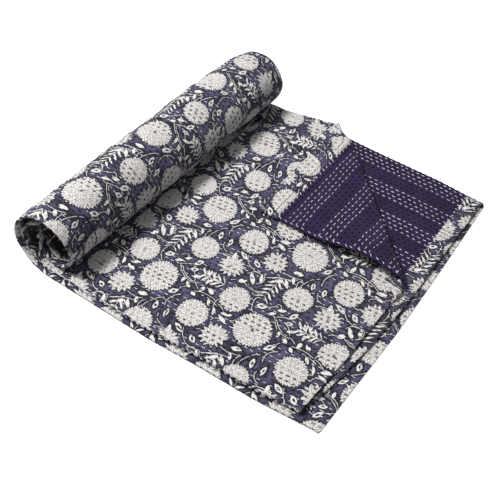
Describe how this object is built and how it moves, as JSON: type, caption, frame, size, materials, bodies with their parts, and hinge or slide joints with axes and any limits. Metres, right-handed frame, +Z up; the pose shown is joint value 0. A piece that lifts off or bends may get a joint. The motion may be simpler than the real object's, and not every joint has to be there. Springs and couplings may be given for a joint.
{
  "type": "kantha quilt",
  "caption": "Folded and half rolled kantha quilt with a floral block print, a plain dark back, running stitches and one corner turned back.",
  "frame": {"origin": "middle of the bounding box's underside, on the floor", "axes": "+X along the roll, towards the end where the corner is turned back; the laid panels reach from the roll towards -Y; +Z up"},
  "size_m": [0.552, 0.552, 0.1208],
  "materials": {
    "quilted_cotton": "matt printed cotton with white running stitches, plain dark back"
  },
  "bodies": {
    "root": {"quilt": "quilted_cotton"}
  },
  "joints": []
}
